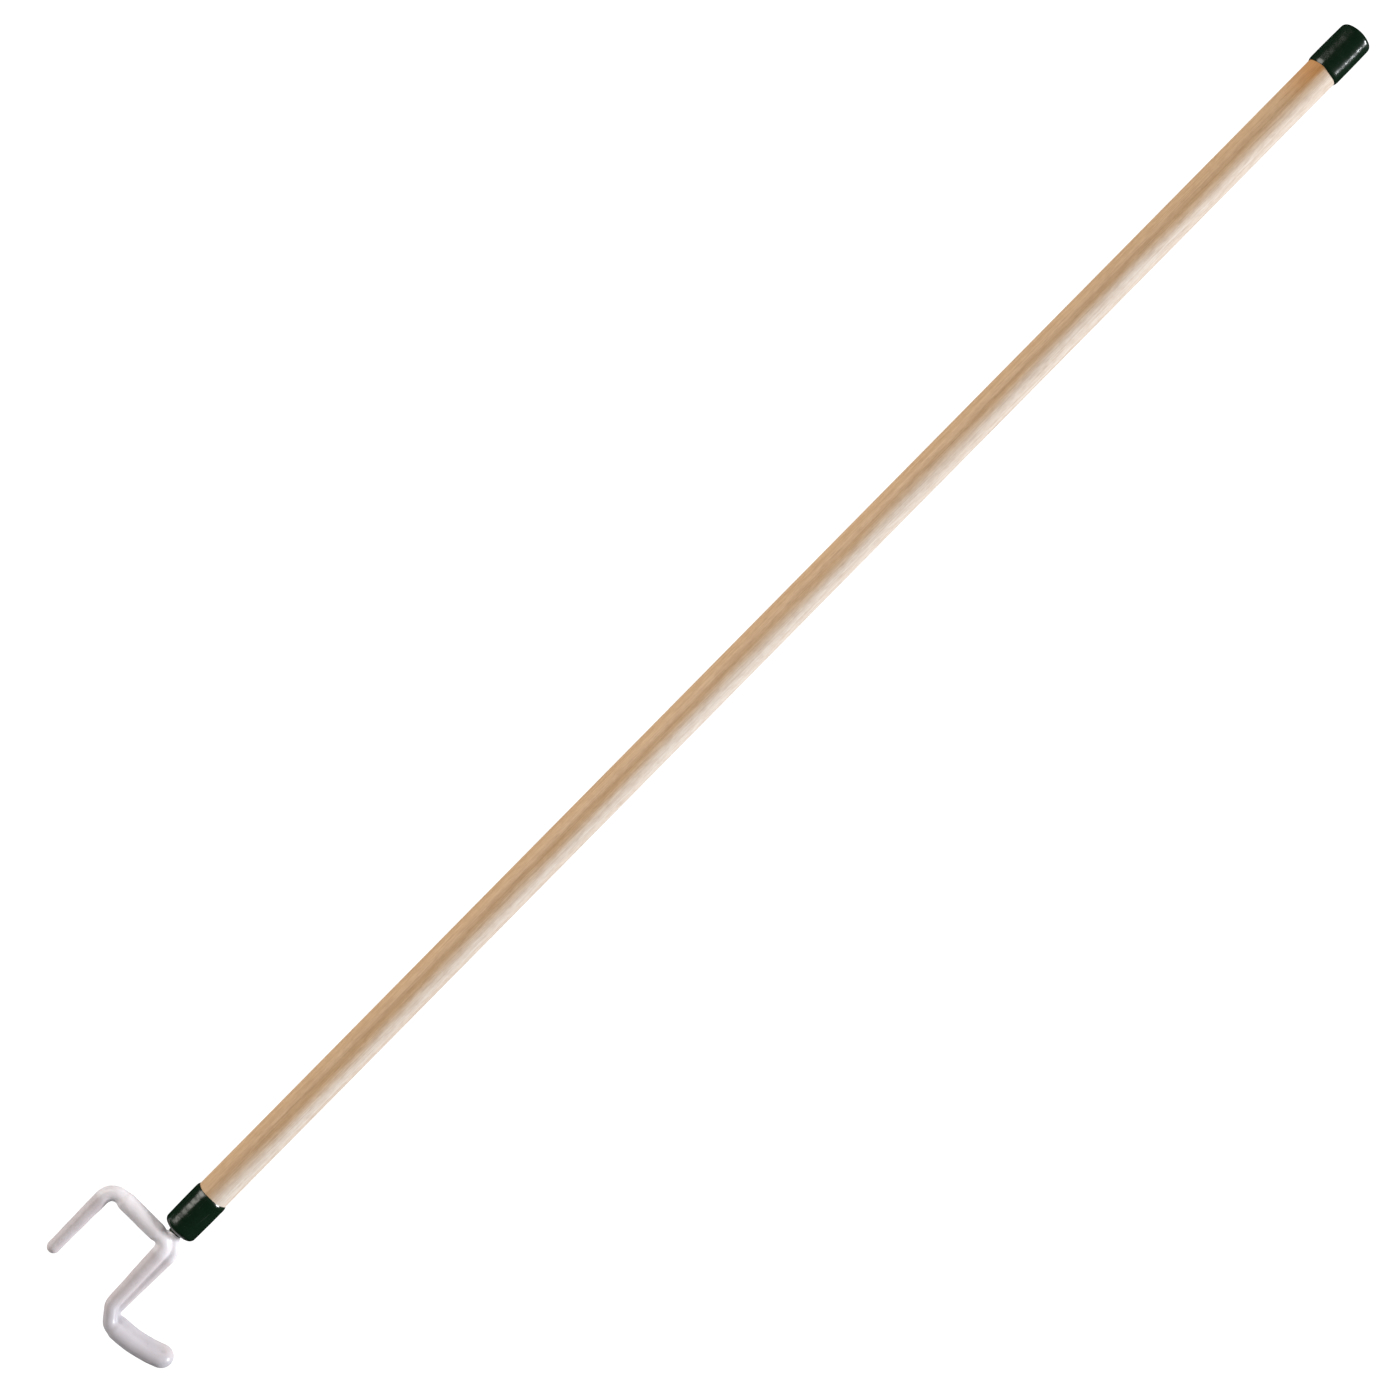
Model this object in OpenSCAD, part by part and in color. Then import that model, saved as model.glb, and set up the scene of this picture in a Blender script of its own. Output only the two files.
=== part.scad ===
// Dressing stick: a wooden dowel with a vinyl cap on each end and a push-pull hook.
//
// Frame: +X runs along the dowel from the tip cap to the hook, +Z is square to the flat
// of the hook, and the origin is on the dowel's axis at the outer end of the tip cap.
// The hook is one wire. Its shank is glued into the dowel, and it runs out along the
// stem and the arm, turns back at the arm's tip beside itself, crosses in front of its
// own neck as the bar, and ends in the prong. Everything outside the dowel is dipped.

/* [Dowel] */
// Length of the wooden dowel
dowel_l = 609.6; // [250:0.1:900]
// Diameter of the wooden dowel
dowel_d = 12.7; // [9.5:0.1:20]
// Bevel on both ends of the dowel
dowel_bevel = 0.8; // [0.2:0.1:2]

/* [Caps] */
// Vinyl thickness on the side of the dowel
cap_wall = 0.5; // [0.3:0.05:1.5]
// Vinyl thickness over the end of the dowel, at the axis
cap_end = 3.7; // [3:0.1:6]
// Length of dowel that the tip cap covers
tip_cap_cover = 16.4; // [6:0.1:60]
// Length of dowel that the hook-end cap covers
hook_cap_cover = 15.5; // [6:0.1:60]
// Radius of the round edge between a cap's side and its domed end
cap_edge_r = 2; // [0.8:0.1:2.4]
// Distance from the top of the dome to the start of the cap's straight side
cap_dome_l = 3.1; // [2.7:0.1:3.6]
// Length over which the rim thins out towards the wood
rim_l = 0.9; // [0.3:0.1:2]
// Thickness of the rim's edge
rim_t = 0.2; // [0.1:0.05:0.28]
// Radius of the hollow lip of vinyl that climbs the neck of the hook
lip_r = 0.6; // [0.3:0.1:1.2]

/* [Wire] */
// Diameter of the hook's steel wire
wire_d = 3.2; // [2:0.1:4.5]
// Length of the shank inside the dowel
shank_l = 32; // [15:1:80]
// Thickness of the adhesive round the shank
glue_t = 0.25; // [0.1:0.05:0.5]
// Adhesive between the end of the shank and the drilled bottom
glue_bottom = 1.5; // [0.5:0.1:4]
// Gap between the front and the back run where one crosses the other
run_gap = 0.07; // [0.05:0.01:0.5]
// Offset between the two runs along the arm, within the flat of the hook
run_offset = 2.1; // [1.2:0.1:3]

/* [Vinyl coat] */
// Coat thickness on the neck and the top of the stem
coat_t = 0.95; // [0.6:0.05:1.6]
// Coat thickness along the bar
bar_coat_t = 1.85; // [0.8:0.05:2.4]
// Coat thickness where the bar meets the stem
junction_coat_t = 1.35; // [0.8:0.05:2]
// Coat thickness at the top of the prong
prong_coat_t = 1.25; // [0.6:0.05:2]
// Coat thickness near the tip of the prong
prong_tip_coat_t = 0.9; // [0.5:0.05:1.6]
// Coat thickness along the arm
arm_coat_t = 1.35; // [0.6:0.05:2]

/* [Hook shape] */
// Gap between the top of the cap's dome and the coated bar
bar_gap = 0.8; // [0.4:0.1:5]
// Length over which the bar's coat thickens from each end
bar_taper_l = 1.5; // [1:0.5:6]
// Inside radius of the coat where the stem turns into the bar
bar_bend_in = 0.75; // [0.2:0.05:3]
// Distance of the prong's centreline from the dowel's axis
prong_offset = 28.2; // [20:0.1:60]
// Length of the coated prong, from the bar's centreline to its tip
prong_l = 32.9; // [15:0.1:60]
// Inside radius of the coat where the bar turns into the prong
prong_bend_in = 2.35; // [0.2:0.05:5]
// Straight neck between the lip and the first bend
neck_l = 0.05; // [0.05:0.05:4]
// Inside radius of the coat at the neck's bend
neck_bend_in = 0.35; // [0.2:0.05:2]
// Angle of the jog from the neck to the stem, in degrees
jog_angle = 44; // [38:1:50]
// Inside radius of the coat where the jog turns into the stem
jog_bend_in = 3.85; // [0.5:0.05:5]
// Distance of the stem's centreline from the dowel's axis
stem_offset = 2.6; // [2.4:0.05:4]
// Spread of the stem's two runs at its top
stem_spread = 3.9; // [3.6:0.1:6]
// Distance from the bar's centreline to the arm's outer run
arm_drop = 36.5; // [26:0.1:60]
// Inside radius of the coat where the back run turns into the arm
arm_corner_in = 0.5; // [0.2:0.05:2]
// Length along the stem that the front run cuts off its corner
corner_cut_stem = 6.1; // [5:0.1:9]
// Length along the arm that the front run cuts off its corner
corner_cut_arm = 4.9; // [4:0.1:6]
// Inside radius of the coat at both bends of the front run's corner
corner_cut_in = 1.6; // [0.5:0.1:2]
// Distance from the dowel's axis to the middle of the arm's curve
arm_curve_y = 17.8; // [17:0.1:40]
// Rise of the arm's far end, in degrees
arm_rise = 20; // [10:1:24]
// Radius of the arm's curve, along its outer run
arm_curve_r = 50; // [20:1:55]
// Length from the middle of the arm's curve to its coated tip
arm_tip_l = 14.9; // [13.5:0.1:30]

/* [Hidden] */
$fn = 96;
slack = 1;                // overshoot of a cutting outline, so that no thin skin is left
slip = 0.1;               // how far a straight leg reaches into the bend that follows it
bend_step = 0.02;         // how much fatter a bend is than the leg that slips into it
bury = 0.1;               // how deep the ends of the bar's thick coat start inside the rod
drill_angle = 118;        // point angle of the drill that makes the shank's hole

wire_r = wire_d / 2;
dowel_r = dowel_d / 2;
cap_r = dowel_r + cap_wall;
neck_r = wire_r + coat_t;
bar_r = wire_r + bar_coat_t;
junction_r = wire_r + junction_coat_t;
prong_r = wire_r + prong_coat_t;
prong_tip_r = wire_r + prong_tip_coat_t;
arm_r = wire_r + arm_coat_t;
bore_r = wire_r + glue_t;
bore_l = shank_l + glue_bottom;
drill_point_l = bore_r / tan(drill_angle / 2);

// The wire doubles back, so it has a front run above the flat and a back run below it
run_z = (wire_d + run_gap) / 2;     // height of either run's centreline off the flat
front_top_y = stem_offset - stem_spread / 2;
front_foot_y = stem_offset - run_offset / 2;
back_top_y = stem_offset + stem_spread / 2;
back_foot_y = stem_offset + run_offset / 2;
jog_run = [back_top_y / tan(jog_angle), back_top_y, -run_z];
jog_turn = acos(jog_run.x / norm(jog_run));
neck_bend_r = neck_r + neck_bend_in;
bar_bend_r = junction_r + bar_bend_in;
prong_bend_r = prong_r + prong_bend_in;

// Stations along +X
face_x = cap_end + dowel_l;         // the dowel's end face at the hook
dome_x = face_x + cap_end;          // top of the hook-end cap's dome
shank_x = face_x - shank_l;         // inner end of the shank
neck_x = dome_x + lip_r + neck_l + neck_bend_r * tan(jog_turn / 2);
bar_x = dome_x + bar_gap + bar_r;
arm_x = bar_x + arm_drop;
prong_x = bar_x + prong_l;

// The arm's far end, where the wire turns back beside itself
arm_dir = [-sin(arm_rise), cos(arm_rise), 0];
arm_in = [-cos(arm_rise), -sin(arm_rise), 0];
across = run_offset * arm_in - [0, 0, 2 * run_z];
front_curve = [arm_x, arm_curve_y, run_z];
back_curve = front_curve - [0, 0, 2 * run_z]
    + run_offset * ([-1, 0, 0] + arm_in) / (1 + cos(arm_rise));
front_tip = front_curve + (arm_tip_l - arm_r - run_offset / 2) * arm_dir;
back_tip = front_tip + across;

// Each station of a run: corner point, bend radius there, radius of the coat there
back_run = [
    [[face_x, 0, 0], 0, neck_r],
    [[neck_x, 0, 0], neck_bend_r, neck_r],
    [[neck_x, 0, 0] + jog_run, neck_r + jog_bend_in, neck_r],
    [[arm_x - run_offset, back_foot_y, -run_z], neck_r + arm_corner_in, neck_r],
    [back_curve, arm_curve_r - run_offset, arm_r],
    [back_tip + slip * arm_dir, 0, arm_r]
];
front_run = [
    [front_tip + slip * arm_dir, 0, arm_r],
    [front_curve, arm_curve_r, arm_r],
    [[arm_x, front_foot_y + corner_cut_arm, run_z], neck_r + corner_cut_in, neck_r],
    [[arm_x - corner_cut_stem, front_foot_y, run_z], neck_r + corner_cut_in, neck_r],
    [[bar_x, front_top_y, run_z], bar_bend_r, junction_r],
    [[bar_x, -prong_offset, run_z], prong_bend_r, prong_r],
    [[prong_x - prong_tip_r - bend_step, -prong_offset, run_z], 0, prong_tip_r]
];
bar_start_y = front_top_y - bar_bend_r;
bar_length = bar_start_y + prong_offset - prong_bend_r;

function unit(v) = v / norm(v);
function heading(run, i) = unit(run[i + 1][0] - run[i][0]);
function turn(run, i) = acos(heading(run, i - 1) * heading(run, i));
function setback(run, i) = run[i][1] == 0 ? 0 : run[i][1] * tan(turn(run, i) / 2);
function side_of(w) = unit(cross(abs(w.z) < 0.9 ? [0, 0, 1] : [1, 0, 0], w));

// Puts a shape's X axis along u, its Z axis along w and its origin at p
module place(p, u, w) {
    v = cross(w, u);
    multmatrix([
        [u.x, v.x, w.x, p.x],
        [u.y, v.y, w.y, p.y],
        [u.z, v.z, w.z, p.z],
        [0, 0, 0, 1]
    ])
        children();
}

// Straight leg of a run, which slips into the bend at either end of it
module leg(run, i) {
    along = heading(run, i);
    in_slip = run[i][1] == 0 ? 0 : slip;
    out_slip = run[i + 1][1] == 0 ? 0 : slip;
    start = run[i][0] + (setback(run, i) - in_slip) * along;
    finish = run[i + 1][0] - (setback(run, i + 1) - out_slip) * along;
    place(start, side_of(along), along)
        cylinder(h = norm(finish - start), r1 = run[i][2], r2 = run[i + 1][2]);
}

module bend(run, i) {
    before = heading(run, i - 1);
    hinge = unit(cross(before, heading(run, i)));
    inward = cross(hinge, before);
    start = run[i][0] - setback(run, i) * before;
    place(start + run[i][1] * inward, -inward, hinge)
        rotate_extrude(angle = turn(run, i))
            translate([run[i][1], 0])
                circle(r = run[i][2] + bend_step);
}

module rod(run) {
    for (i = [0:len(run) - 2])
        leg(run, i);
    for (i = [1:len(run) - 2])
        bend(run, i);
}

// The half turn at the arm's tip, from the front run round to the back run
module tip_turn(r) {
    outward = -unit(across);
    place(front_tip + across / 2, outward, cross(outward, arm_dir))
        rotate_extrude(angle = 180)
            intersection() {
                translate([norm(across) / 2, 0])
                    circle(r = r + bend_step);
                translate([0, -2 * r])
                    square(4 * r);
            }
}

// The same run as bare wire, starting at the point given
function bare(run, start) = [
    for (i = [0:len(run) - 1]) [i == 0 ? start : run[i][0], run[i][1], wire_r]
];

module bare_wire() {
    rod(bare(back_run, [shank_x, 0, 0]));
    rod(bare(front_run, front_run[0][0]));
    tip_turn(wire_r);
}

// The coat gathers along the bar, which hangs level while the hook drains
module bar_coat() {
    place([bar_x, bar_start_y, run_z], [1, 0, 0], [0, -1, 0])
        rotate_extrude()
            polygon([
                [0, 0], [junction_r - bury, 0], [bar_r, bar_taper_l],
                [bar_r, bar_length - bar_taper_l], [prong_r - bury, bar_length],
                [0, bar_length]
            ]);
}

module dipped_wire() {
    rod(back_run);
    rod(front_run);
    tip_turn(arm_r);
    bar_coat();
    translate(front_run[len(front_run) - 1][0])
        sphere(r = prong_tip_r + bend_step);
}

// Outline of a cap's vinyl with its dome on the axis at 0 and its rim at the far end
module cap_section(cover) {
    rim = cap_end + cover;
    edge_x = cap_r - cap_edge_r;
    dome_r = (pow(edge_x, 2) + pow(cap_dome_l, 2) - pow(cap_edge_r, 2))
        / (2 * (cap_dome_l - cap_edge_r));
    lean = atan(edge_x / (dome_r - cap_dome_l));
    difference() {
        union() {
            polygon([
                [0, cap_dome_l], [cap_r, cap_dome_l],
                [cap_r, rim - rim_l], [dowel_r + rim_t, rim], [0, rim]
            ]);
            translate([edge_x, cap_dome_l])
                circle(r = cap_edge_r);
            intersection() {
                translate([0, dome_r])
                    circle(r = dome_r);
                polygon([
                    [0, cap_dome_l], [0, -slack],
                    [(dome_r + slack) * tan(lean), -slack], [edge_x, cap_dome_l]
                ]);
            }
        }
        polygon([
            [0, cap_end], [dowel_r - dowel_bevel, cap_end],
            [dowel_r, cap_end + dowel_bevel], [dowel_r, rim + slack], [0, rim + slack]
        ]);
    }
}

// The vinyl that climbs the neck: a ring with a hollow slope, from the dome to the lip's top
module neck_lip() {
    difference() {
        translate([0, -lip_r])
            square([neck_r + lip_r, lip_r + cap_dome_l]);
        translate([neck_r + lip_r, -lip_r])
            circle(r = lip_r);
    }
}

module wooden_dowel() {
    color("burlywood")
        translate([cap_end, 0, 0])
            rotate([0, 90, 0])
                rotate_extrude()
                    polygon([
                        [0, 0], [dowel_r - dowel_bevel, 0], [dowel_r, dowel_bevel],
                        [dowel_r, dowel_l - dowel_bevel], [dowel_r - dowel_bevel, dowel_l],
                        [bore_r, dowel_l], [bore_r, dowel_l - bore_l],
                        [0, dowel_l - bore_l - drill_point_l]
                    ]);
}

module tip_cap() {
    color([0.06, 0.11, 0.08])
        rotate([0, 90, 0])
            rotate_extrude()
                cap_section(tip_cap_cover);
}

module hook_end_cap() {
    color([0.06, 0.11, 0.08])
        translate([dome_x, 0, 0])
            rotate([0, -90, 0])
                rotate_extrude()
                    difference() {
                        union() {
                            cap_section(hook_cap_cover);
                            neck_lip();
                        }
                        translate([0, -lip_r - slack])
                            square([neck_r, cap_end + lip_r + 2 * slack]);
                    }
}

module hook_wire() {
    color("silver")
        bare_wire();
}

module hook_coating() {
    color([0.9, 0.87, 0.88])
        difference() {
            dipped_wire();
            bare_wire();
        }
}

module shank_adhesive() {
    color("khaki")
        translate([face_x, 0, 0])
            rotate([0, -90, 0])
                rotate_extrude()
                    polygon([
                        [wire_r, 0], [bore_r, 0], [bore_r, bore_l],
                        [0, bore_l + drill_point_l], [0, shank_l], [wire_r, shank_l]
                    ]);
}

wooden_dowel();
tip_cap();
hook_end_cap();
hook_wire();
hook_coating();
shank_adhesive();
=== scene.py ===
"""Looks of the dressing stick: a wooden dowel, a dipped cap on each end and a dipped wire hook.

Everything is in metres and in the part's own frame: +X runs along the dowel from the tip cap
to the hook, +Y is the side of the hook's curved arm, and +Z is the side that the camera sees.
"""

import itertools
import math

import bpy
import numpy as np
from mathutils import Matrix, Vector
from mathutils.bvhtree import BVHTree


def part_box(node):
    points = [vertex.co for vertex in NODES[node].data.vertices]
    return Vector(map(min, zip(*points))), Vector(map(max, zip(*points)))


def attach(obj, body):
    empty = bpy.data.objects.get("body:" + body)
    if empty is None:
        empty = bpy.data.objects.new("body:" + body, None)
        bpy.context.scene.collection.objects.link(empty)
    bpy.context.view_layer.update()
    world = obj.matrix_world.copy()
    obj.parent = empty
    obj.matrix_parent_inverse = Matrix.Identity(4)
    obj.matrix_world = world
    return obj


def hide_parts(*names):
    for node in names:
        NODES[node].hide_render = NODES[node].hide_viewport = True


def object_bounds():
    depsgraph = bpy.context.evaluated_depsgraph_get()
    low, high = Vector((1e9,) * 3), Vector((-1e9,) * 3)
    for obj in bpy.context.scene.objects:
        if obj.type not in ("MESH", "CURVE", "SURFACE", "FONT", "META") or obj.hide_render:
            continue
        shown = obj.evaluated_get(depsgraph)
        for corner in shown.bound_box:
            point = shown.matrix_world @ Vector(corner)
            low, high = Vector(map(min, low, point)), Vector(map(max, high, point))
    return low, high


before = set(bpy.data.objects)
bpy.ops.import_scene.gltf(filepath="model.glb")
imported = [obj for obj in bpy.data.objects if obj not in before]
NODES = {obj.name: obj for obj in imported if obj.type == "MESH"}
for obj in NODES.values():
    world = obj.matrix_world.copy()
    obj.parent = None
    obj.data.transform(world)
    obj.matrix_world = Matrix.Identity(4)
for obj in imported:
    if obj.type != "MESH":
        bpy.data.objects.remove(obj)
cad_low, cad_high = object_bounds()

MM = 0.001

# ---------------------------------------------------------------- sizes, from the frame

dowel_low, dowel_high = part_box("wooden_dowel")
tip_cap_low, tip_cap_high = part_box("tip_cap")
hook_cap_low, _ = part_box("hook_end_cap")
glue_low, glue_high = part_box("shank_adhesive")
coat_low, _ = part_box("hook_coating")
_, wire_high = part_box("hook_wire")

DOWEL_R = dowel_high.y
DOWEL_BEVEL = 0.8 * MM
BORE_R = glue_high.y
BORE_CONE = math.radians(31)                # slope of the cone that the drill leaves
CAP_R = tip_cap_high.y
CAP_WALL = CAP_R - DOWEL_R
CAP_END = dowel_low.x - tip_cap_low.x       # vinyl over the dowel's end, at the axis
WIRE_R = 1.6 * MM
BAR_R = 3.45 * MM                           # radius of the coated bar


def coat_start(side, limit):
    """Lowest X of the coat's points that are further out than limit, on the side given."""
    return min(v.co.x for v in NODES["hook_coating"].data.vertices if side * v.co.y > limit)


def coat_end_radius():
    """Radius of the coat where it leaves the hook-end cap."""
    start = coat_low.x + 0.01 * MM
    return max(v.co.y for v in NODES["hook_coating"].data.vertices if v.co.x < start)


NECK_R = coat_end_radius()
BAR_X = coat_start(-1, 12 * MM) + BAR_R     # centreline of the bar, well clear of the neck
ARM_X = wire_high.x - WIRE_R                # centreline of the arm at its corner

# The soft shapes of the dipped vinyl
CAP_EDGE_R = 2.0 * MM        # round edge between a cap's side and its dome
CAP_DOME_L = 3.1 * MM        # height of the domed end
CAP_TAPER = 0.2 * MM         # how much slimmer a cap is at its dome than at its rim
RIM_L = 1.8 * MM             # length over which a rim thins out
RIM_T = 0.12 * MM            # thickness left at the rim's edge
LIP_H = 0.2 * MM             # height of the vinyl that climbs the hook's neck
LIP_W = 0.25 * MM            # width of its foot on the dome
LIP_WEDGE = 0.75 * MM        # how much further it runs up the neck's prong side
LIP_T = 0.18 * MM            # its thickness at its edge
LIP_SINK = 0.15 * MM         # how far its bore lies inside the neck's skin
COAT_PITCH = 0.28 * MM       # grid step of the hook's skin
COAT_FILL = 0.5 * MM         # how far the wet vinyl rounds off every crease
COAT_RIPPLE = 0.035 * MM     # height of the slow ripples that it sets with

TABLE_GLOW = 1.0             # brightness of the table, and of the surround beyond it


# ---------------------------------------------------------------- mesh tools

def waves(points, length, seed, count=14):
    """A smooth field of about -1 to 1 with the wavelength given: a sum of plane waves."""
    rng = np.random.default_rng(seed)
    ways = rng.normal(size=(count, 3))
    ways /= np.linalg.norm(ways, axis=1, keepdims=True)
    phases = rng.uniform(0, math.tau, count)
    total = np.zeros(len(points))
    for way, phase in zip(ways, phases):
        total += np.sin(points @ way * math.tau / length + phase)
    return total / math.sqrt(count)


def new_piece(name, vertices, faces, crease=40):
    """A smooth-shaded mesh object, sharp only where two faces meet at more than crease degrees."""
    mesh = bpy.data.meshes.new(name)
    mesh.from_pydata([tuple(v) for v in vertices], [], [tuple(f) for f in faces])
    mesh.update()
    mesh.polygons.foreach_set("use_smooth", [True] * len(mesh.polygons))
    mesh.set_sharp_from_angle(angle=math.radians(crease))
    piece = bpy.data.objects.new(name, mesh)
    bpy.context.scene.collection.objects.link(piece)
    return piece


def arc(centre, radius, start, end, steps):
    """Points (x, r) on an arc, by angles in degrees from +X towards +r."""
    angles = np.radians(np.linspace(start, end, steps))
    return [(centre[0] + radius * math.cos(a), centre[1] + radius * math.sin(a)) for a in angles]


def refine(outline, step):
    """The same outline with extra points, so that no stretch is longer than step."""
    points = [outline[0]]
    for (x0, r0), (x1, r1) in zip(outline, outline[1:]):
        parts = max(1, math.ceil(math.hypot(x1 - x0, r1 - r0) / step))
        points += [
            (x0 + (x1 - x0) * i / parts, r0 + (r1 - r0) * i / parts) for i in range(1, parts + 1)
        ]
    return points


def lathe(name, outline, segments, closed=False, warp=None):
    """Turns an outline of (x, r) points round the X axis. warp moves the finished points."""
    angles = np.linspace(0, math.tau, segments, endpoint=False)
    vertices, rings = [], []
    for x, r in outline:
        first = len(vertices)
        if r < 1e-9:
            vertices.append((x, 0, 0))
            rings.append([first] * segments)
        else:
            vertices += [(x, r * math.cos(a), r * math.sin(a)) for a in angles]
            rings.append(list(range(first, first + segments)))
    pairs = list(zip(rings, rings[1:]))
    if closed:
        pairs.append((rings[-1], rings[0]))
    faces = []
    for one, two in pairs:
        for i in range(segments):
            j = (i + 1) % segments
            corners = (one[i], one[j], two[j], two[i])
            faces.append(tuple(dict.fromkeys(corners)))
    points = np.array(vertices)
    if warp is not None:
        points = warp(points)
    return new_piece(name, points, faces)


# ---------------------------------------------------------------- the hook's skin

def outer_tree(coat, core):
    """Search tree of the coat's faces, without those that lie on its core."""
    mesh, inner = coat.data, core.data
    core_tree = BVHTree.FromPolygons(
        [v.co for v in inner.vertices], [p.vertices for p in inner.polygons]
    )
    outside = [
        tuple(p.vertices) for p in mesh.polygons if core_tree.find_nearest(p.center)[3] > 0.1 * MM
    ]
    return BVHTree.FromPolygons([v.co for v in mesh.vertices], outside)


def distances(tree, points, reach):
    """Signed distance from each point to the skin: negative inside, reach where it is far outside."""
    found = np.full(len(points), reach)
    for i, point in enumerate(points):
        near, normal, _, gap = tree.find_nearest(point, reach)
        if near is None:
            continue
        away = Vector(point) - near
        side = away.dot(normal)
        if abs(side) < 0.95 * gap:
            # nearest to an edge or a corner: the face that meets the point most squarely decides
            touching = tree.find_nearest_range(point, gap + 0.001 * MM)
            side = max((away.dot(hit[1]) for hit in touching), key=abs, default=side)
        found[i] = math.copysign(gap, side)
    return found


def distance_grid(tree, low, high, pitch, band):
    """Signed distances on a grid, exact within band of the skin and coarse elsewhere."""
    block = 4
    reach = 6 * MM
    counts = [math.ceil((high[i] - low[i]) / (pitch * block)) for i in range(3)]
    middles = [low[i] + (np.arange(counts[i]) + 0.5) * pitch * block - pitch / 2 for i in range(3)]
    points = np.stack(np.meshgrid(*middles, indexing="ij"), -1).reshape(-1, 3)
    coarse = distances(tree, points, reach).reshape(counts)
    field = coarse.repeat(block, 0).repeat(block, 1).repeat(block, 2)
    near = np.abs(field) < band + pitch * block * math.sqrt(3) / 2
    cells = np.argwhere(near)
    field[near] = distances(tree, np.array(low) + cells * pitch, reach)
    return field


def blur(field, sigma):
    """Gaussian blur of a grid, with sigma in grid steps."""
    span = math.ceil(2.5 * sigma)
    weights = np.exp(-0.5 * (np.arange(-span, span + 1) / sigma) ** 2)
    weights /= weights.sum()
    for axis in range(3):
        pad = [(span, span) if i == axis else (0, 0) for i in range(3)]
        wide = np.pad(field, pad, mode="edge")
        n = field.shape[axis]
        field = sum(
            w * np.take(wide, range(i, i + n), axis=axis) for i, w in enumerate(weights)
        )
    return field


def surface_net(field):
    """Quads round the zero level of a grid, as vertices in grid steps and faces."""
    inside = field < 0
    corners = list(itertools.product((0, 1), repeat=3))
    size = [n - 1 for n in field.shape]
    views = [
        inside[i:i + size[0], j:j + size[1], k:k + size[2]].astype(np.int8)
        for i, j, k in corners
    ]
    total = sum(views)
    cells = np.argwhere((total > 0) & (total < 8))
    values = np.stack([field[tuple((cells + c).T)] for c in corners], 1)
    sums, hits = np.zeros((len(cells), 3)), np.zeros(len(cells))
    for a, b in itertools.combinations(range(8), 2):
        one, two = np.array(corners[a]), np.array(corners[b])
        if np.abs(one - two).sum() != 1:
            continue
        cut = (values[:, a] < 0) != (values[:, b] < 0)
        share = values[cut, a] / (values[cut, a] - values[cut, b])
        sums[cut] += one + share[:, None] * (two - one)
        hits[cut] += 1
    vertices = cells + sums / hits[:, None]

    ids = np.full(size, -1)
    ids[tuple(cells.T)] = np.arange(len(cells))
    faces = []
    for axis in range(3):
        step = np.eye(3, dtype=int)[axis]
        side, up = np.eye(3, dtype=int)[(axis + 1) % 3], np.eye(3, dtype=int)[(axis + 2) % 3]
        last = [n - 1 if i == axis else n for i, n in enumerate(field.shape)]
        here = inside[:last[0], :last[1], :last[2]]
        there = inside[step[0]:, step[1]:, step[2]:]
        for flip in (False, True):
            edges = np.argwhere((here & ~there) if not flip else (~here & there))
            around = [edges - side - up, edges - up, edges, edges - side]
            quad = np.stack([ids[tuple(c.T)] for c in around], 1)
            faces.append(quad[:, ::-1] if flip else quad)
    return vertices, np.concatenate(faces)


def at(field, points):
    """Value of a grid between its points."""
    base = np.clip(np.floor(points).astype(int), 0, np.array(field.shape) - 2)
    part = points - base
    total = 0
    for corner in itertools.product((0, 1), repeat=3):
        weight = np.prod(np.where(corner, part, 1 - part), axis=1)
        total = total + weight * field[tuple((base + corner).T)]
    return total


def dipped_skin(name, coat, core, pitch, fill, ripple):
    """The coat's outer skin, with every crease filled as wet vinyl fills it."""
    margin = 2.5 * MM
    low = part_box(coat)[0] - Vector([margin] * 3)
    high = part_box(coat)[1] + Vector([margin] * 3)
    tree = outer_tree(NODES[coat], NODES[core])
    field = distance_grid(tree, low, high, pitch, 2.5 * fill + pitch)
    field = blur(field, fill / pitch)
    slopes = np.gradient(field)
    vertices, faces = surface_net(field)
    for _ in range(4):
        slope = np.stack([at(s, vertices) for s in slopes], 1)
        steep = (slope ** 2).sum(1)
        lift = ripple * waves(np.array(low) + vertices * pitch, 7 * MM, 3)
        vertices = vertices - ((at(field, vertices) - lift) / steep)[:, None] * slope
    return new_piece(name, np.array(low) + vertices * pitch, faces, crease=80)


# ---------------------------------------------------------------- pieces

def make_dowel():
    """The dowel, bevelled at both ends and drilled for the hook's shank."""
    x0, x1 = dowel_low.x, dowel_high.x
    cone_x = glue_low.x + BORE_R * math.tan(BORE_CONE)
    outline = [
        (x0, 0), (x0, DOWEL_R - DOWEL_BEVEL), (x0 + DOWEL_BEVEL, DOWEL_R),
        (x1 - DOWEL_BEVEL, DOWEL_R), (x1, DOWEL_R - DOWEL_BEVEL),
        (x1, BORE_R), (cone_x, BORE_R), (glue_low.x, 0),
    ]
    return lathe("dowel_wood", refine(outline, 5 * MM), 128)


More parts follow.
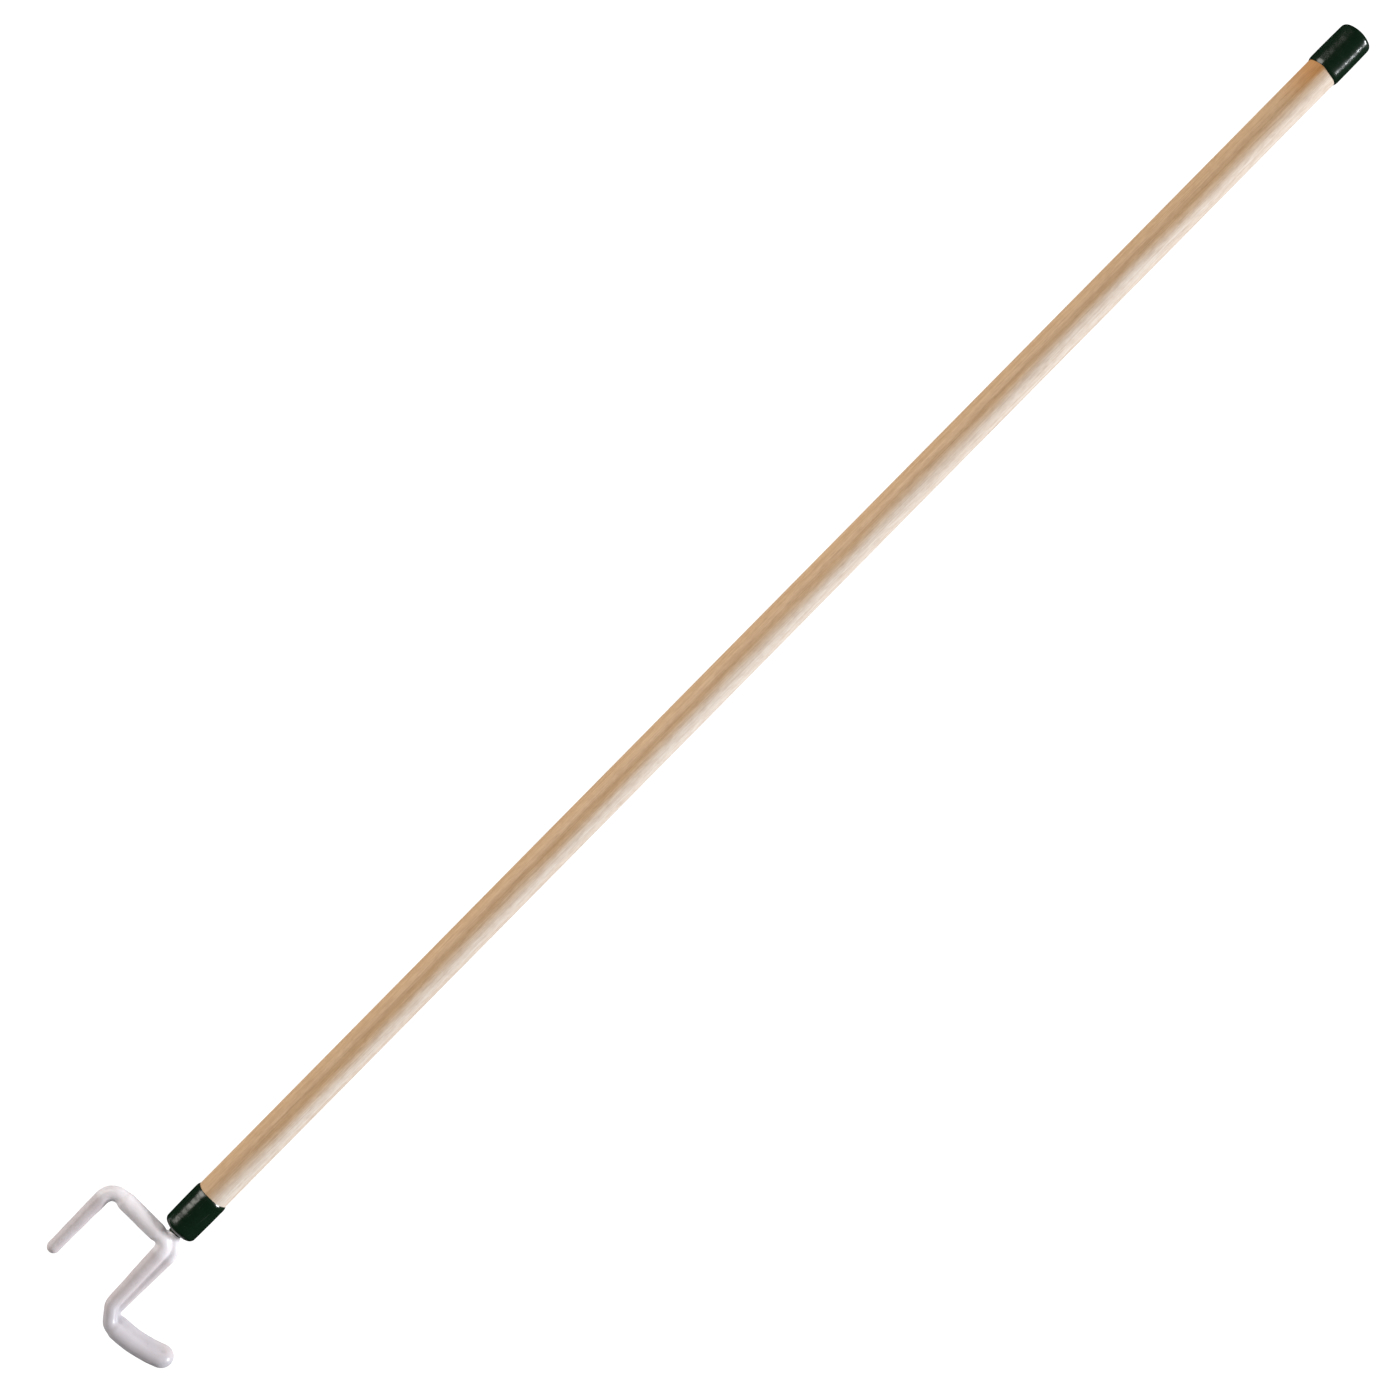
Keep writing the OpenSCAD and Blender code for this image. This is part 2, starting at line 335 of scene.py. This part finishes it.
def cap_outline(cover):
    """Half section of a cap's vinyl as (u, r), with u from the top of the dome to the rim."""
    rim = CAP_END + cover
    edge_x = CAP_R - CAP_EDGE_R
    dome_r = (edge_x ** 2 + CAP_DOME_L ** 2 - CAP_EDGE_R ** 2) / (2 * (CAP_DOME_L - CAP_EDGE_R))
    lean = math.degrees(math.atan2(edge_x, dome_r - CAP_DOME_L))
    dome = arc((dome_r, 0), dome_r, 180, 180 - lean, 14)
    edge = arc((CAP_DOME_L, edge_x), CAP_EDGE_R, 180 - lean, 90, 12)[1:]
    taper = []
    for share in np.linspace(0, 1, 9)[1:]:
        drop = (CAP_WALL - RIM_T) * (1 - math.cos(math.pi / 2 * share ** 1.5))
        taper.append((rim - RIM_L * (1 - share), CAP_R - drop))
    inside = [
        (rim, DOWEL_R), (CAP_END + DOWEL_BEVEL, DOWEL_R), (CAP_END, DOWEL_R - DOWEL_BEVEL)
    ]
    side = [(CAP_DOME_L + 1 * MM, CAP_R), (rim - RIM_L, CAP_R)]
    return dome, edge + side + taper, inside, rim


def narrowing(u, r, rim):
    """How much slimmer a cap is at u: most of it at the dome, none at the rim or at the axis."""
    along = np.clip(1 - u / (0.7 * rim), 0, 1) ** 1.5
    return CAP_TAPER * along * np.clip(2 * r / CAP_R - 1, 0, 1)


def warp_cap(points, origin, way, rim, rim_wave, lip_wave):
    """Tapers a cap, makes its rim wander and lifts its lip, by the angle round the dowel."""
    u = (points[:, 0] - origin) * way
    angle = np.arctan2(points[:, 2], points[:, 1])
    r = np.hypot(points[:, 1], points[:, 2])
    near_rim = np.clip((u - 0.35 * rim) / (0.65 * rim), 0, 1) ** 2
    outside = (r > DOWEL_R + 0.01 * MM) | (u < CAP_END - 0.01 * MM)
    slimmer = np.where(outside, 1 - narrowing(u, r, rim) / CAP_R, 1)
    moved = points.copy()
    moved[:, 0] += way * near_rim * rim_wave(angle)
    if lip_wave is not None:
        moved[:, 0] += way * np.clip(-u / LIP_H, 0, 1) * lip_wave(angle)
    moved[:, 1:] *= slimmer[:, None]
    return moved


def make_tip_cap():
    """The plain cap on the far end."""
    dome, outside, inside, rim = cap_outline(tip_cap_high.x - dowel_low.x)
    outline = refine(dome + outside + inside + [(CAP_END, 0)], 0.6 * MM)

    def rim_wave(angle):
        return 0.16 * MM * np.sin(2 * angle + 0.6) + 0.1 * MM * np.sin(5 * angle + 2)

    return lathe(
        "tip_cap_vinyl", [(tip_cap_low.x + u, r) for u, r in outline], 128,
        warp=lambda p: warp_cap(p, tip_cap_low.x, 1, rim, rim_wave, None),
    )


def make_hook_cap():
    """The cap that the hook's neck comes out of, with a lip of vinyl up the neck."""
    dome_top = dowel_high.x + CAP_END
    dome, outside, inside, rim = cap_outline(dowel_high.x - hook_cap_low.x)
    bore_r = NECK_R - LIP_SINK
    lip_r = bore_r + LIP_T
    foot_u, foot_r = next(point for point in dome if point[1] > lip_r + LIP_W)
    lip = [
        (
            foot_u - (foot_u + LIP_H) * (1 - math.sin(a)),
            lip_r + (foot_r - lip_r) * (1 - math.cos(a)),
        )
        for a in np.linspace(0, math.pi / 2, 9)
    ]
    dome = [point for point in dome if point[1] > foot_r]
    bore = [(CAP_END, bore_r), (-LIP_H, bore_r)]
    outline = refine(lip + dome + outside + inside + bore, 0.6 * MM)

    def rim_wave(angle):
        slow = 0.14 * MM * np.sin(2 * angle + 1.1)
        quick = 0.08 * MM * np.sin(5 * angle)
        notch = 0.1 * MM * np.exp(-((angle - math.radians(56)) / 0.2) ** 2)
        return slow + quick - notch

    def lip_wave(angle):
        turn = np.angle(np.exp(1j * (angle - math.radians(155))))
        return -LIP_WEDGE * np.exp(-(turn / 0.6) ** 2)

    # u runs against X here, so the order is turned round to keep the faces outward, and the
    # last point goes because the ring closes on the lip's first
    ring = [(dome_top - u, r) for u, r in reversed(outline[:-1])]
    return lathe(
        "hook_end_cap_vinyl", ring, 128, closed=True,
        warp=lambda p: warp_cap(p, dome_top, -1, rim, rim_wave, lip_wave),
    )


# ---------------------------------------------------------------- material tools

def new_material(name):
    """A node material with one Principled shader: returns the material, its tree and the shader."""
    material = bpy.data.materials.new(name)
    material.use_nodes = True
    tree = material.node_tree
    tree.nodes.clear()
    shader = tree.nodes.new("ShaderNodeBsdfPrincipled")
    output = tree.nodes.new("ShaderNodeOutputMaterial")
    tree.links.new(shader.outputs[0], output.inputs[0])
    return material, tree, shader


def add(tree, kind, inputs=(), **settings):
    """A new node with its settings, and its inputs by name or number as values or links."""
    node = tree.nodes.new("ShaderNode" + kind)
    for name, value in settings.items():
        setattr(node, name, value)
    for key, value in dict(inputs).items():
        if isinstance(value, bpy.types.NodeSocket):
            tree.links.new(value, node.inputs[key])
        else:
            node.inputs[key].default_value = value
    return node


def place(tree):
    """The piece's own coordinates, which are the part's frame, in metres."""
    return add(tree, "TexCoord").outputs["Object"]


def noise(tree, where, per_metre, detail=3.0, roughness=0.5):
    """Noise with its own number of lumps per metre along X, Y and Z."""
    scaled = add(tree, "Mapping", {"Vector": where, "Scale": per_metre}).outputs[0]
    return add(
        tree, "TexNoise", {"Vector": scaled, "Scale": 1, "Detail": detail, "Roughness": roughness}
    ).outputs["Fac"]


def spread(tree, value, low, high, to_low=0.0, to_high=1.0):
    """Smoothly maps low..high to to_low..to_high."""
    return add(
        tree, "MapRange",
        {"Value": value, "From Min": low, "From Max": high, "To Min": to_low, "To Max": to_high},
        interpolation_type="SMOOTHSTEP",
    ).outputs[0]


def maths(tree, operation, one, two=0.0):
    """One step of arithmetic."""
    return add(tree, "Math", {0: one, 1: two}, operation=operation).outputs[0]


def mix(tree, share, one, two, blend="MIX"):
    """Mixes two colours."""
    node = add(tree, "Mix", data_type="RGBA", blend_type=blend)
    for key, value in ((0, share), (6, one), (7, two)):
        if isinstance(value, bpy.types.NodeSocket):
            tree.links.new(value, node.inputs[key])
        else:
            node.inputs[key].default_value = value
    return node.outputs[2]


def colour(red, green, blue):
    """The value of a colour socket, from linear red, green and blue."""
    return (red, green, blue, 1.0)


def relief(tree, shader, height, depth):
    """Raises the surface by height times depth, in metres, as fine relief."""
    bump = add(tree, "Bump", {"Height": height, "Distance": depth, "Strength": 1.0})
    tree.links.new(bump.outputs[0], shader.inputs["Normal"])


# ---------------------------------------------------------------- materials

def lacquered_wood():
    """Pale straight-grained hardwood under a thin satin lacquer, with a painted sheen: the +Y side is
    painted paler where the key light falls.
    """
    material, tree, shader = new_material("lacquered_wood")
    where = place(tree)
    axes = add(tree, "SeparateXYZ", {0: where}).outputs

    # growth layers lie in planes along the dowel, which wander a little
    wander = noise(tree, where, (9, 30, 30), 1)
    along_y = maths(tree, "MULTIPLY", axes[1], 0.55)
    along_z = maths(tree, "MULTIPLY", axes[2], 0.84)
    layer = maths(tree, "ADD", along_y, along_z)
    layer = maths(tree, "ADD", layer, maths(tree, "MULTIPLY", wander, 0.0022))
    flow = add(tree, "CombineXYZ", {0: axes[0], 1: layer, 2: 0.0}).outputs[0]
    layers = noise(tree, flow, (5, 620, 0), 3, 0.6)
    fibres = noise(tree, where, (42, 2600, 2600), 4, 0.65)
    pores = spread(tree, noise(tree, where, (150, 5200, 5200), 2), 0.60, 0.72)
    cloud = noise(tree, where, (14, 120, 120), 3)
    mottle = noise(tree, where, (260, 900, 900), 4, 0.6)

    layered = spread(tree, layers, 0.3, 0.7)
    # the -Y side keeps the wood's own colour; the +Y side is painted paler, a painted sheen of the
    # key light
    plain_wood_tone = mix(tree, layered, colour(0.66, 0.435, 0.24), colour(0.73, 0.495, 0.287))
    painted_sheen_tone = mix(tree, layered, colour(0.76, 0.64, 0.535), colour(0.85, 0.765, 0.685))
    drift = maths(tree, "SUBTRACT", cloud, 0.5)
    edge = maths(tree, "ADD", axes[1], maths(tree, "MULTIPLY", drift, 0.005))
    # painted sheen: the tone turns paler towards +Y
    tone = mix(tree, spread(tree, edge, -0.0015, 0.0042), plain_wood_tone, painted_sheen_tone)
    fibrous = spread(tree, fibres, 0.35, 0.7, 0.0, 0.36)
    tone = mix(tree, fibrous, tone, colour(0.62, 0.47, 0.34), "MULTIPLY")
    mottled = spread(tree, mottle, 0.35, 0.7, 0.0, 0.34)
    tone = mix(tree, mottled, tone, colour(0.72, 0.62, 0.52), "MULTIPLY")
    tone = mix(tree, maths(tree, "MULTIPLY", pores, 0.3), tone, colour(0.34, 0.20, 0.11))

    # the wood is more orange towards the tip cap's rim, most on the -Y side
    reach = maths(tree, "ADD", axes[0], maths(tree, "MULTIPLY", drift, 0.02))
    near_tip_rim = spread(tree, reach, tip_cap_high.x, tip_cap_high.x + 24 * MM, 1.0, 0.0)
    left = spread(tree, edge, -0.0015, 0.0008, 1.0, 0.12)
    tip_orange = maths(tree, "MULTIPLY", near_tip_rim, left)
    tone = mix(tree, tip_orange, tone, colour(0.90, 0.64, 0.33), "MULTIPLY")
    tree.links.new(tone, shader.inputs["Base Color"])

    rough = spread(tree, fibres, 0.3, 0.75, 0.48, 0.62)
    tree.links.new(rough, shader.inputs["Roughness"])
    shader.inputs["Coat Weight"].default_value = 0.25
    shader.inputs["Coat Roughness"].default_value = 0.42
    height = maths(tree, "SUBTRACT", fibres, maths(tree, "MULTIPLY", pores, 0.8))
    relief(tree, shader, height, 0.00003)
    return material


def dipped_black():
    """Glossy dipped vinyl, black with a green cast, with a soft skin and faint scuffs."""
    material, tree, shader = new_material("dipped_black_vinyl")
    where = place(tree)
    skin = noise(tree, where, (260, 260, 260), 2)
    grain = noise(tree, where, (2600, 2600, 2600), 2)
    scuffs = spread(tree, noise(tree, where, (160, 900, 900), 5, 0.7), 0.58, 0.72)
    tone = mix(tree, skin, colour(0.0042, 0.0150, 0.0066), colour(0.0070, 0.0200, 0.0100))
    tone = mix(tree, maths(tree, "MULTIPLY", scuffs, 0.12), tone, colour(0.05, 0.055, 0.05))
    tree.links.new(tone, shader.inputs["Base Color"])
    smooth = spread(tree, skin, 0.3, 0.7, 0.17, 0.23)
    rough = maths(tree, "ADD", smooth, maths(tree, "MULTIPLY", scuffs, 0.16))
    tree.links.new(rough, shader.inputs["Roughness"])
    shader.inputs["Specular IOR Level"].default_value = 0.8
    height = maths(tree, "ADD", skin, maths(tree, "MULTIPLY", grain, 0.05))
    relief(tree, shader, height, 0.00012)
    return material


def dipped_white():
    """Glossy dipped vinyl, white with a pink cast, with painted light along the bar and painted shade
    on the arm.
    """
    material, tree, shader = new_material("dipped_white_vinyl")
    where = place(tree)
    axes = add(tree, "SeparateXYZ", {0: where}).outputs
    mottle = noise(tree, where, (170, 170, 170), 4, 0.6)
    skin = noise(tree, where, (330, 330, 330), 2)
    grain = noise(tree, where, (3200, 3200, 3200), 2)

    # painted light along the bar and painted shade on the arm: lighter and darker tones that stand in
    # for how the light falls on them
    bar = spread(tree, axes[0], BAR_X + 3.6 * MM, BAR_X + 6.5 * MM, 1.0, 0.0)
    arm = spread(tree, axes[0], ARM_X - 10 * MM, ARM_X - 6 * MM)
    on_arm = maths(tree, "MULTIPLY", arm, spread(tree, axes[1], -0.002, 0.006))
    plain_vinyl_tone = mix(tree, mottle, colour(0.60, 0.535, 0.55), colour(0.70, 0.64, 0.655))
    # painted light: the bar's tone is lighter than the vinyl's own
    painted_light_bar_tone = mix(tree, mottle, colour(0.76, 0.71, 0.74), colour(0.87, 0.83, 0.86))
    # painted shade: the arm's tone is darker than the vinyl's own
    painted_shade_arm_tone = mix(tree, mottle, colour(0.53, 0.50, 0.535), colour(0.62, 0.59, 0.63))
    tone = mix(tree, bar, plain_vinyl_tone, painted_light_bar_tone)
    tone = mix(tree, on_arm, tone, painted_shade_arm_tone)
    tree.links.new(tone, shader.inputs["Base Color"])
    rough = spread(tree, mottle, 0.3, 0.7, 0.27, 0.38)
    tree.links.new(rough, shader.inputs["Roughness"])
    shader.inputs["Subsurface Weight"].default_value = 0.12
    shader.inputs["Subsurface Radius"].default_value = (1.0, 0.7, 0.65)
    shader.inputs["Subsurface Scale"].default_value = 0.0008
    height = maths(tree, "ADD", skin, maths(tree, "MULTIPLY", grain, 0.04))
    relief(tree, shader, height, 0.00015)
    return material


def drawn_steel():
    """Zinc-coated drawn wire, with fine lines along it."""
    material, tree, shader = new_material("drawn_steel_wire")
    where = place(tree)
    lines = noise(tree, where, (90, 4200, 4200), 3, 0.6)
    dull = noise(tree, where, (220, 220, 220), 3)
    tone = mix(tree, dull, colour(0.50, 0.50, 0.49), colour(0.68, 0.68, 0.66))
    tree.links.new(tone, shader.inputs["Base Color"])
    shader.inputs["Metallic"].default_value = 1.0
    tree.links.new(spread(tree, lines, 0.3, 0.7, 0.28, 0.48), shader.inputs["Roughness"])
    relief(tree, shader, lines, 0.00002)
    return material


def amber_glue():
    """Cured amber adhesive with small bubbles."""
    material, tree, shader = new_material("amber_adhesive")
    where = place(tree)
    cells = add(tree, "TexVoronoi", {"Vector": where, "Scale": 1400.0}).outputs["Distance"]
    bubbles = spread(tree, cells, 0.12, 0.2, 1.0, 0.0)
    cloud = noise(tree, where, (300, 300, 300), 3)
    tone = mix(tree, cloud, colour(0.62, 0.42, 0.16), colour(0.78, 0.60, 0.30))
    tone = mix(tree, maths(tree, "MULTIPLY", bubbles, 0.5), tone, colour(0.92, 0.82, 0.6))
    tree.links.new(tone, shader.inputs["Base Color"])
    tree.links.new(spread(tree, cloud, 0.3, 0.7, 0.22, 0.36), shader.inputs["Roughness"])
    relief(tree, shader, bubbles, -0.00004)
    return material


def light_table():
    """Plain white acrylic, lit evenly from below."""
    material, tree, shader = new_material("floor_white")
    shader.inputs["Base Color"].default_value = colour(0.15, 0.15, 0.15)
    shader.inputs["Roughness"].default_value = 0.9
    shader.inputs["Specular IOR Level"].default_value = 0.0
    shader.inputs["Emission Color"].default_value = colour(1, 1, 1)
    shader.inputs["Emission Strength"].default_value = TABLE_GLOW
    material.cycles.emission_sampling = "NONE"      # so wide that chance rays find it anyway
    return material


# ---------------------------------------------------------------- build

dowel = make_dowel()
tip_cap = make_tip_cap()
hook_cap = make_hook_cap()
hook_skin = dipped_skin(
    "hook_vinyl", "hook_coating", "hook_wire", COAT_PITCH, COAT_FILL, COAT_RIPPLE
)

black = dipped_black()
for piece, node, slot, material in (
    (dowel, "wooden_dowel", "lacquered_wood", lacquered_wood()),
    (tip_cap, "tip_cap", "black_vinyl", black),
    (hook_cap, "hook_end_cap", "black_vinyl", black),
    (hook_skin, "hook_coating", "white_vinyl", dipped_white()),
):
    piece.data.materials.append(material)
    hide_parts(node)
    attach(piece, "root")

for node, material in (("hook_wire", drawn_steel()), ("shank_adhesive", amber_glue())):
    NODES[node].material_slots[0].material = material


# ---------------------------------------------------------------- studio

def make_floor():
    """A plain sheet under the part, far wider than any view of it."""
    half = 6.0
    centre = (cad_low + cad_high) / 2
    corners = [(-half, -half), (half, -half), (half, half), (-half, half)]
    points = [(centre.x + x, centre.y + y, cad_low.z) for x, y in corners]
    floor = new_piece("studio_floor", points, [(0, 1, 2, 3)])
    floor.data.materials.append(light_table())
    floor.visible_glossy = False


def make_light(name, azimuth, elevation, distance, size, strength, tint, glossy=True):
    """A soft box that faces the part. Azimuth is from +X towards +Y, in degrees, and strength
    is the light that it throws on a surface square to it."""
    light = bpy.data.lights.new(name, "AREA")
    light.shape = "RECTANGLE"
    light.size, light.size_y = size
    light.energy = strength * math.pi * distance ** 2
    light.color = tint
    lamp = bpy.data.objects.new(name, light)
    bpy.context.scene.collection.objects.link(lamp)
    around, up = math.radians(azimuth), math.radians(elevation)
    away = Vector((math.cos(around) * math.cos(up), math.sin(around) * math.cos(up), math.sin(up)))
    centre = (cad_low + cad_high) / 2
    lamp.location = centre + distance * away
    lamp.rotation_euler = away.to_track_quat("Z", "Y").to_euler()
    lamp.visible_camera = False
    lamp.visible_glossy = glossy


def make_world():
    """A white surround that is only seen, and lights nothing."""
    world = bpy.data.worlds.new("studio")
    world.use_nodes = True
    world.node_tree.nodes["Background"].inputs[0].default_value = colour(1, 1, 1)
    world.node_tree.nodes["Background"].inputs[1].default_value = TABLE_GLOW
    world.cycles_visibility.diffuse = False
    world.cycles_visibility.glossy = False
    bpy.context.scene.world = world


def make_camera():
    """Looks straight down on the part, which lies from the lower left to the upper right."""
    height = 1.1
    width = 0.5125                  # what the view takes in across, at the flat of the hook
    lean = math.radians(44.64)      # of the stick in the view, from upright
    off_x, off_y = 10.6 * MM, -3.6 * MM     # of the camera from the middle of the part
    camera = bpy.data.cameras.new("camera")
    camera.lens = camera.sensor_width * height / width
    eye = bpy.data.objects.new("camera", camera)
    bpy.context.scene.collection.objects.link(eye)
    centre = (cad_low + cad_high) / 2
    eye.location = (centre.x + off_x, centre.y + off_y, height)
    eye.rotation_euler = (0, 0, math.pi / 2 + lean)
    bpy.context.scene.camera = eye


make_floor()
make_light("key_right", 127, 12, 8.0, (3.7, 1.3), 3.8, (0.95, 0.975, 1.0))
make_light("box_left", 270.5, 34, 1.5, (1.3, 1.0), 2.4, (1.0, 0.955, 0.9))
make_light("fill_top", 180, 72, 3.0, (2.0, 2.0), 0.6, (1.0, 1.0, 1.0), glossy=False)
make_light("fill_end", 0, 25, 3.0, (2.0, 2.0), 0.5, (1.0, 1.0, 1.0), glossy=False)
make_world()
make_camera()
bpy.context.scene.view_settings.view_transform = "Standard"
